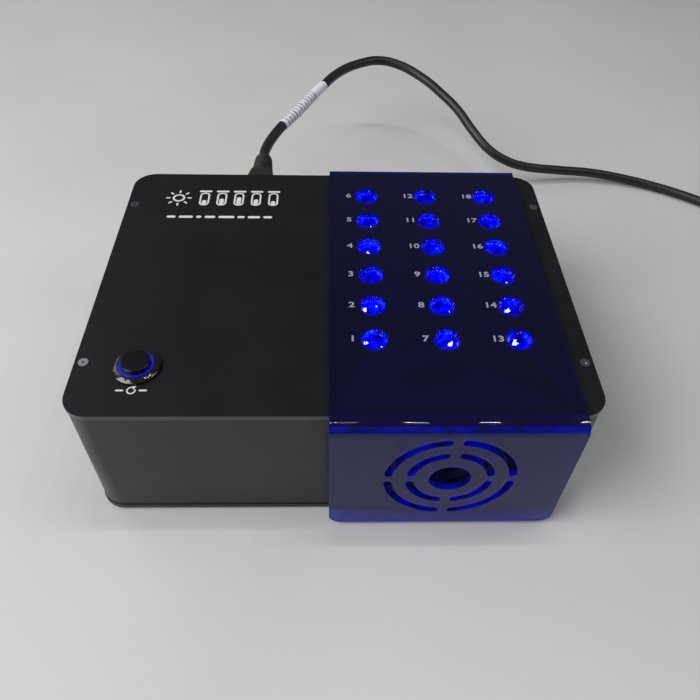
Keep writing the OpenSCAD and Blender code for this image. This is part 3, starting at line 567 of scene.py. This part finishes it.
nodeFinish = {
    "caseCoat": ["case_shell", "base_plate"],
    "topCoat": ["top_plate"],
    "rubber": ["rubber_feet"],
    "blackSteel": ["top_screws", "base_screws", "fan_screws"],
    "millAluminium": ["corner_posts", "heat_sink"],
    "nickel": ["rack_spacers", "rack_screws", "led_board_screws", "heat_sink_posts", "heat_sink_screws",
               "psu_standoffs", "psu_screws", "control_standoffs", "control_screws", "inlet_pins",
               "inlet_screws", "inlet_nuts", "button_nut"],
    "whitePlastic": ["tube_rack", "reflector_tubes", "control_sockets"],
    "boardWhite": ["led_board"],
    "ledBlue": ["led_emitters"],
    "blackPlastic": ["fan_frame", "fan_rotor", "control_chips", "inlet_housing", "switch_housing",
                     "button_contacts"],
    "copper": ["fan_stator"],
    "boardGreen": ["psu_board"],
    "boardBlue": ["control_board"],
    "coreTape": ["psu_transformer"],
    "sleeve": ["psu_capacitors"],
    "terminalGreen": ["psu_terminals"],
    "rockerBlack": ["switch_rocker"],
    "buttonBlack": ["button_bezel"],
    "capBlack": ["button_cap"],
    "gasket": ["button_gasket"],
    "ringLight": ["button_light_ring"],
    "springSteel": ["button_spring"],
    "brownWire": ["mains_wires"],
    "redWire": ["signal_wires"],
    "acrylic": ["blue_cover"],
    "plugBlack": ["plug_body", "plug_relief", "wall_plug"],
    "cordBlack": ["power_cord", "cord_coil"],
    "labelPaper": ["cord_label"],
    "strap": ["cord_tie"],
    "brass": ["wall_plug_pins"],
}
for finish, members in nodeFinish.items():
    for member in members:
        wear(nodes[member], paint[finish])
wear(mainsLead, paint["cordBlack"])
print("nodes finished:", sum(len(m) for m in nodeFinish.values()), "of", len(nodes))

metalwork = {
    "plateEdge": 0.35 * mm,
    "shellEdge": 0.45 * mm,
    "buttonEdge": 0.12 * mm,
    # node, new piece, which edge, finish, slot, body
    "pieces": [
        ("top_plate", "top_panel", "plateEdge", "topCoat", "black_enamel", "case"),
        ("base_plate", "bottom_panel", "plateEdge", "caseCoat", "black_enamel", "case"),
        ("case_shell", "case_wrap", "shellEdge", "caseCoat", "black_enamel", "case"),
        ("button_bezel", "button_collar", "buttonEdge", "buttonBlack", "black_anodised", "case"),
        ("button_cap", "button_top", "buttonEdge", "capBlack", "black_anodised", "button_cap"),
    ],
    "rimSlope": 0.8,            # faces of the top plate steeper than this are its rim, which gets the painted highlight
}


def finishMetalwork():
    for node, name, edge, finish, slot, body in metalwork["pieces"]:
        obj = wear(roundedCopy(node, name, metalwork[edge]), paint[finish])
        if node == "top_plate":
            # the rim faces get the lighter finish, a painted highlight along the plate's edges
            obj.data.materials.append(paint["plateRimPaintedHighlight"])
            for face in obj.data.polygons:
                face.material_index = int(abs(face.normal.z) < metalwork["rimSlope"])
        place(obj, body, slot, node)
    print("case and button edges broken")


finishMetalwork()

cover = {
    "edge": 0.25 * mm,
    "flatFrom": -0.0919,        # the top sheet is flat behind this
    "frontBelow": 0.0764,       # and the front sheet below this
    "bendGlow": (34, 60),       # degrees up from level where the bend has a painted glow
    "sides": (-0.003, 0.1078),  # just inside its two side edges
}


def coverMaterial(face):
    # 0 is the clear sheet, 1 a cut edge with a painted glow, 2 the part of the bend with a painted glow
    x, y, z = face.normal
    at = face.center
    onTop, onFront = at.y > cover["flatFrom"], at.z < cover["frontBelow"]
    low, high = cover["bendGlow"]
    atSide = not cover["sides"][0] < at.x < cover["sides"][1]
    if abs(x) > 0.5:
        return 0 if onTop and atSide else 1
    if (onTop and abs(z) < 0.5) or (onFront and abs(y) < 0.5):
        return 1
    inBend = not onTop and not onFront and y < 0
    return 2 if inBend and low < math.degrees(math.atan2(z, -y)) < high else 0


def makeCover():
    obj = roundedCopy("blue_cover", "acrylic_cover", cover["edge"])
    obj.data.materials.clear()
    for name in ("acrylic", "litEdge", "litBend"):
        obj.data.materials.append(paint[name])
    for face in obj.data.polygons:
        face.material_index = coverMaterial(face)
    place(obj, "case", "blue_acrylic", "blue_cover")
    print("cover bent:", len(obj.data.polygons), "faces")


makeCover()

wells = {
    "columns": (0.0179, 0.0524, 0.0869),
    "rows": (-0.0448, -0.0219, 0.0010, 0.0239, 0.0468, 0.0697),
    "foilRadius": 5.40,
    # heights in mm where the foil has a ring of points; its lip spreads out in the cover's hole
    "deep": (38.5, 66.0, 8),
    "near": (66.0, 78.7, 13),
    "lip": [(79.2, 5.45), (79.4, 5.9), (79.6, 6.15), (80.3, 6.2), (81.0, 6.22), (81.7, 6.22)],
    "crinkle": 0.20 * mm,
    "inward": (1.6, 2.6),       # how far a fold may stand in, down the tube and in the lip
    "lipFrom": 0.0793,
    "folds": 420,               # per metre
    "finerFolds": 2.3,          # how much closer the second set lies
    "raggedEdge": 900,          # per metre, round each glint
    "shuffle": 7,               # so that no two liners are folded alike
    "foil": 0.05 * mm,
    "sides": 48,
    # painted reflections: well, angle round it in degrees, height in mm, size in mm
    "glints": [
        (1, 150, 75.6, 1.6), (1, 130, 74.8, 1.2), (1, 40, 72.5, 0.8),
        (2, 138, 74.6, 2.5), (2, 126, 73.6, 1.2), (2, 60, 76.5, 0.7),
        (3, 140, 73.4, 1.3), (3, 160, 75.8, 0.9), (3, 150, 74.6, 0.8),
        (4, 92, 72.8, 1.2), (5, 60, 73.0, 0.8),
        (7, 50, 74.4, 1.6), (7, 58, 72.8, 1.6),
        (8, 30, 75.0, 0.8), (11, 118, 73.2, 1.4), (12, 86, 72.2, 1.1),
        (13, 86, 72.8, 1.9), (13, 90, 74.8, 1.3), (14, 84, 73.0, 2.0), (15, 40, 73.5, 0.9),
    ],
}


def foilRings():
    (low, mid, deepCount), (_, high, nearCount) = wells["deep"], wells["near"]
    rings = [low + (mid - low) * k / deepCount for k in range(deepCount)]
    rings += [mid + (high - mid) * k / nearCount for k in range(nearCount + 1)]
    return [(z, wells["foilRadius"]) for z in rings] + wells["lip"]


def wellPlaces():
    # numbered from the front left, column by column
    return enumerate([(x, y) for x in wells["columns"] for y in wells["rows"]], 1)


def crinkle(liner, x, y):
    for vert in liner.data.vertices:
        out = Vector((vert.co.x, vert.co.y, 0)).normalized()
        spot = (vert.co + Vector((x, y, 0)) * wells["shuffle"]) * wells["folds"]
        fold = noise.noise(spot) + 0.5 * noise.noise(spot * wells["finerFolds"])
        inward = wells["crinkle"] * wells["inward"][vert.co.z > wells["lipFrom"]]
        depth = max(wells["crinkle"] * min(fold, 1), -inward)
        vert.co += out * depth * (1 if fold > 0 else wells["inward"][0])


def addGlints(liner, count):
    for well, angle, height, size in wells["glints"]:
        if well != count:
            continue
        a = math.radians(angle)
        spot = Vector((wells["foilRadius"] * math.cos(a), wells["foilRadius"] * math.sin(a), height)) * mm
        for face in liner.data.polygons:
            reach = size * mm * (0.6 + 0.35 * noise.noise(face.center * wells["raggedEdge"]))
            if (face.center - spot).length < reach:
                face.material_index = 1


def makeFoilLiners():
    profile = foilRings()
    deselect()
    bpy.ops.mesh.primitive_circle_add(vertices=wells["sides"], radius=profile[0][1] * mm,
                                      location=(0, 0, profile[0][0] * mm))
    first = settle(added("foil_liners"))
    drawOut(first, profile, "EDGE")
    leaveEdit()
    liners = []
    for count, (x, y) in wellPlaces():
        liner = first.copy()
        liner.data = first.data.copy()
        scene.collection.objects.link(liner)
        wear(liner, paint["foil"]).data.materials.append(paint["glint"])
        crinkle(liner, x, y)
        addGlints(liner, count)
        for vert in liner.data.vertices:
            vert.co += Vector((x, y, 0))
        finishWith(liner, "SOLIDIFY", thickness=wells["foil"], offset=-1)
        liners.append(liner)
    bpy.data.objects.remove(first)
    obj = joined(liners, "foil_liners")
    smooth(obj, 25)
    place(obj, "case", "reflector")
    print("foil liners crinkled:", len(obj.data.polygons), "faces")


makeFoilLiners()

numbers = {
    "size": 5.2 * mm,
    "wide": 1.22,
    "left": 10.4 * mm,          # of the well's middle
    "height": 0.0820,
    "thick": 0.03 * mm,
    "weight": 0.12 * mm,
    "sameSpot": 0.001 * mm,
}


def makeNumbers():
    made = []
    for count, (x, y) in wellPlaces():
        deselect()
        bpy.ops.object.text_add(location=(x - numbers["left"], y, numbers["height"]))
        text = bpy.context.object
        text.data.body = str(count)
        text.data.size = numbers["size"]
        text.data.extrude = numbers["thick"]
        text.data.offset = numbers["weight"]
        text.data.align_x, text.data.align_y = "CENTER", "CENTER"
        text.data.resolution_u = 3
        bpy.ops.object.convert(target="MESH")
        bpy.context.object.scale.x = numbers["wide"]
        number = settle(bpy.context.object)
        editFaces(number, lambda face: True)
        bpy.ops.mesh.remove_doubles(threshold=numbers["sameSpot"])
        leaveEdit()
        made.append(number)
    obj = joined(made, "well_numbers")
    place(wear(obj, paint["numberPrint"]), "case", "label_film")
    print("wells numbered")


makeNumbers()

panelPrint = {
    "level": 0.0790,
    "thick": 0.03 * mm,
    # a plain light symbol
    "sun": (-0.0915, 0.0705),
    "sunRing": (3.6 * mm, 1.2 * mm),
    "rays": 8,
    "rayReach": 6.2 * mm,
    "ray": (2.6 * mm, 1.1 * mm),
    # a row of tubes, each with its lid and its filling
    "tubes": (-0.0765, -0.0665, -0.0565, -0.0465, -0.0365),
    "lid": (0.0772, 7.4 * mm, 1.7 * mm),
    "tube": (0.0696, 5.8 * mm, 12.4 * mm),
    "tubeWall": 1.0 * mm,
    "fillFrom": 0.0645,
    "fillWide": 2.6 * mm,
    "fill": (4.0, 5.5, 7.0, 5.0, 3.5),
    # a broken rule below them, from the left, in mm
    "dashesFrom": -0.0958,
    "dashes": (5, 8, 3, 6, 9, 4, 7, 5),
    "dashGap": 1.8,
    "dashY": 0.0525,
    "dashHigh": 2.0 * mm,
    # a round arrow and two bars in front of the button
    "button": (-0.0910, -0.0736),
    "arrowRing": (2.1 * mm, 0.65 * mm),
    "arrowGap": (20, 85),
    "arrowHead": (0.9 * mm, 1.75 * mm, 1.25 * mm),
    "arrowTurn": math.radians(62),
    "sideBar": (5.2 * mm, 3.6 * mm, 0.9 * mm),
}


def raisePrint():
    bpy.ops.mesh.select_all(action="SELECT")
    bpy.ops.mesh.extrude_region_move(TRANSFORM_OT_translate={"value": (0, 0, panelPrint["thick"])})
    faceOutward()


def printedBar(x, y, w, h, turn=0, corner=0.45, outline=0):
    # a flat rounded bar of print, or only its outline
    deselect()
    bpy.ops.mesh.primitive_plane_add(size=1, location=(x, y, panelPrint["level"]))
    obj = bpy.context.object
    obj.scale = (w, h, 1)
    obj.rotation_euler.z = math.radians(turn)
    settle(obj)
    bpy.ops.object.mode_set(mode="EDIT")
    bpy.ops.mesh.select_all(action="SELECT")
    bpy.ops.mesh.bevel(offset=corner * min(w, h), segments=5, affect="VERTICES")
    bpy.ops.mesh.select_all(action="SELECT")
    if outline:
        bpy.ops.mesh.inset(thickness=outline)
        bpy.ops.mesh.delete(type="FACE")
    raisePrint()
    return obj


def printedRing(x, y, radius, width, gap=None):
    # gap is the pair of angles, in degrees, that the ring leaves out
    deselect()
    bpy.ops.mesh.primitive_circle_add(vertices=40, radius=radius, fill_type="NGON",
                                      location=(x, y, panelPrint["level"]))
    obj = settle(bpy.context.object)
    bpy.ops.object.mode_set(mode="EDIT")
    bpy.ops.mesh.select_mode(type="FACE")
    bpy.ops.mesh.select_all(action="SELECT")
    bpy.ops.mesh.inset(thickness=width)
    bpy.ops.mesh.delete(type="FACE")

    def inGap(face):
        return gap[0] < math.degrees(math.atan2(face.center.y - y, face.center.x - x)) < gap[1]

    if gap:
        editFaces(obj, inGap)
        bpy.ops.mesh.delete(type="FACE")
    raisePrint()
    return obj


def printedArrowHead(x, y, radius):
    deselect()
    bpy.ops.mesh.primitive_circle_add(vertices=3, radius=radius, fill_type="NGON",
                                      location=(x, y, panelPrint["level"]))
    obj = settle(bpy.context.object)
    bpy.ops.object.mode_set(mode="EDIT")
    bpy.ops.mesh.select_all(action="SELECT")
    bpy.ops.transform.rotate(value=panelPrint["arrowTurn"], orient_axis="Z",
                             center_override=(x, y, panelPrint["level"]))
    raisePrint()
    return obj


def makePanelPrint():
    sx, sy = panelPrint["sun"]
    marks = [printedRing(sx, sy, *panelPrint["sunRing"])]
    for ray in range(panelPrint["rays"]):
        angle = 2 * math.pi * ray / panelPrint["rays"]
        x = sx + panelPrint["rayReach"] * math.cos(angle)
        y = sy + panelPrint["rayReach"] * math.sin(angle)
        marks.append(printedBar(x, y, *panelPrint["ray"], turn=math.degrees(angle)))
    for x, fill in zip(panelPrint["tubes"], panelPrint["fill"]):
        marks.append(printedBar(x, *panelPrint["lid"]))
        marks.append(printedBar(x, *panelPrint["tube"], outline=panelPrint["tubeWall"]))
        marks.append(printedBar(x, panelPrint["fillFrom"] + fill / 2 * mm, panelPrint["fillWide"], fill * mm))
    x = panelPrint["dashesFrom"]
    for dash in panelPrint["dashes"]:
        marks.append(printedBar(x + dash / 2 * mm, panelPrint["dashY"], dash * mm, panelPrint["dashHigh"]))
        x += (dash + panelPrint["dashGap"]) * mm
    bx, by = panelPrint["button"]
    marks.append(printedRing(bx, by, *panelPrint["arrowRing"], gap=panelPrint["arrowGap"]))
    right, up, radius = panelPrint["arrowHead"]
    marks.append(printedArrowHead(bx + right, by + up, radius))
    away, wide, high = panelPrint["sideBar"]
    for side in (-1, 1):
        marks.append(printedBar(bx + side * away, by, wide, high))
    obj = joined(marks, "panel_print")
    place(wear(obj, paint["print"]), "case", "label_film")
    print("panel printed:", len(obj.data.polygons), "faces")


makePanelPrint()

relief = {
    "start": (-0.049, 0.129, 0.055),
    # distance along the lead and radius, in mm: a smooth neck, then ribs that taper down to the lead
    "neck": [(0, 6.4), (0.8, 7.2), (3.0, 7.2), (3.6, 6.3)],
    "ribs": 6,
    "ribFrom": 3.6,
    "ribPitch": 2.7,
    "ribWide": (7.0, 5.9),
    "groove": (5.9, 4.9),
    "end": [(20.6, 5.4), (21.6, 5.0), (22.0, 4.2)],
    "sides": 40,
    "edge": 0.2 * mm,
}


def between(ends, share):
    return ends[0] + share * (ends[1] - ends[0])


def reliefProfile():
    points = list(relief["neck"])
    for rib in range(relief["ribs"]):
        share = rib / (relief["ribs"] - 1)
        wide, slim = between(relief["ribWide"], share), between(relief["groove"], share)
        at = relief["ribFrom"] + rib * relief["ribPitch"]
        points += [(at + 0.5, slim), (at + 0.9, wide), (at + 2.2, wide), (at + 2.6, slim)]
    return points + relief["end"]


def makeRelief():
    profile = reliefProfile()
    deselect()
    bpy.ops.mesh.primitive_circle_add(vertices=relief["sides"], radius=profile[0][1] * mm, fill_type="NGON",
                                      location=(0, 0, profile[0][0] * mm))
    obj = settle(added("cord_relief"))
    drawOut(obj, profile, "FACE")
    faceOutward()
    obj.rotation_euler.x = math.radians(-90)
    obj.location = relief["start"]
    settle(obj)
    finishWith(obj, "BEVEL", width=relief["edge"], segments=2, limit_method="ANGLE",
               angle_limit=math.radians(40))
    smooth(obj, 40)
    return place(wear(obj, paint["plugBlack"]), "case", "cord_rubber", "plug_relief")


cordRelief = makeRelief()

plug = {
    "edge": 0.8 * mm,
    "endFrom": 0.1275,
    "endScale": (0.54, 1, 0.76),
    "end": (-0.049, 0.129, 0.055),
}


def makePlug():
    # the block narrows toward the relief
    obj = roundedCopy("plug_body", "lead_plug", plug["edge"])
    editFaces(obj, lambda face: face.center.y > plug["endFrom"])
    bpy.ops.transform.resize(value=plug["endScale"], center_override=plug["end"])
    leaveEdit()
    return place(wear(obj, paint["plugBlack"]), "case", "cord_rubber", "plug_body")


leadPlug = makePlug()

label = {
    "points": (1, 6),           # of the lead's route
    "span": (1 / 4, 3 / 4),     # the share of them that the label covers
    "radius": 3.80 * mm,
}


def makeLabel():
    obj = curveThrough("lead_label", lead["route"][slice(*label["points"])])
    curve = obj.data
    curve.bevel_depth = label["radius"]
    curve.bevel_resolution = 8
    curve.bevel_factor_mapping_start = curve.bevel_factor_mapping_end = "SEGMENTS"
    curve.bevel_factor_start, curve.bevel_factor_end = label["span"]
    pick(obj)
    bpy.ops.object.convert(target="MESH")
    smooth(obj, 50)
    return place(wear(obj, paint["labelPaper"]), "case", "label_film", "cord_label")


leadLabel = makeLabel()
print("relief and label made")

studio = {
    "sky": (0.86, 0.90, 1.0),
    "skyStrength": 0.14,
    "backdrop": 0.62,           # how pale the sky looks to the camera
    "lamps": [
        ("key", (-1.1, -0.5, 1.2), 1.2, 27),
        ("rear", (-1.3, 1.0, 1.3), 1.0, 5),
        ("fill", (1.6, 0.0, 1.4), 1.0, 5),
    ],
    # four small ceiling lights, which the cover's bend and the button pick up
    "spots": [0.01, 0.215, 0.405, 0.66],
    "spotY": 0.12,
    "spotZ": 1.5,
    "spotSize": (0.12, 0.03),
    "spotPower": [1.2, 0.8, 0.8, 1.0],
    "aim": (0.02, 0, 0),
}


def makeStage():
    deselect()
    bpy.ops.mesh.primitive_plane_add(size=6)
    floor = added("bench")
    wear(floor, makeFinish("bench", colour=(200, 200, 197), rough=0.42, spread=0.05, vary=0.03, broad=6,
                           grain=900, depth=0.004))

    world = bpy.data.worlds.new("studio")
    scene.world = world
    world.use_nodes = True
    tree = world.node_tree
    back = tree.nodes["Background"]
    back.inputs["Color"].default_value = studio["sky"] + (1,)
    path = tree.nodes.new("ShaderNodeLightPath")
    strength = rangeOf(tree, path.outputs["Is Camera Ray"], studio["skyStrength"], studio["backdrop"], 0, 1)
    tree.links.new(strength, back.inputs["Strength"])
    for name, spot, size, power in studio["lamps"]:
        addLamp(name, spot, (size, size), power)
    for count, (x, power) in enumerate(zip(studio["spots"], studio["spotPower"]), 1):
        addLamp(f"ceiling_{count}", (x, studio["spotY"], studio["spotZ"]), studio["spotSize"], power)
    scene.view_settings.view_transform = "Standard"


def addLamp(name, spot, size, power):
    light = bpy.data.lights.new(name, "AREA")
    light.shape = "RECTANGLE"
    light.size, light.size_y = size
    light.energy = power
    lamp = bpy.data.objects.new(name, light)
    lamp.location = spot
    aim = Vector(studio["aim"]) - Vector(spot)
    lamp.rotation_euler = aim.to_track_quat("-Z", "Y").to_euler()
    scene.collection.objects.link(lamp)


makeStage()
print("stage set")
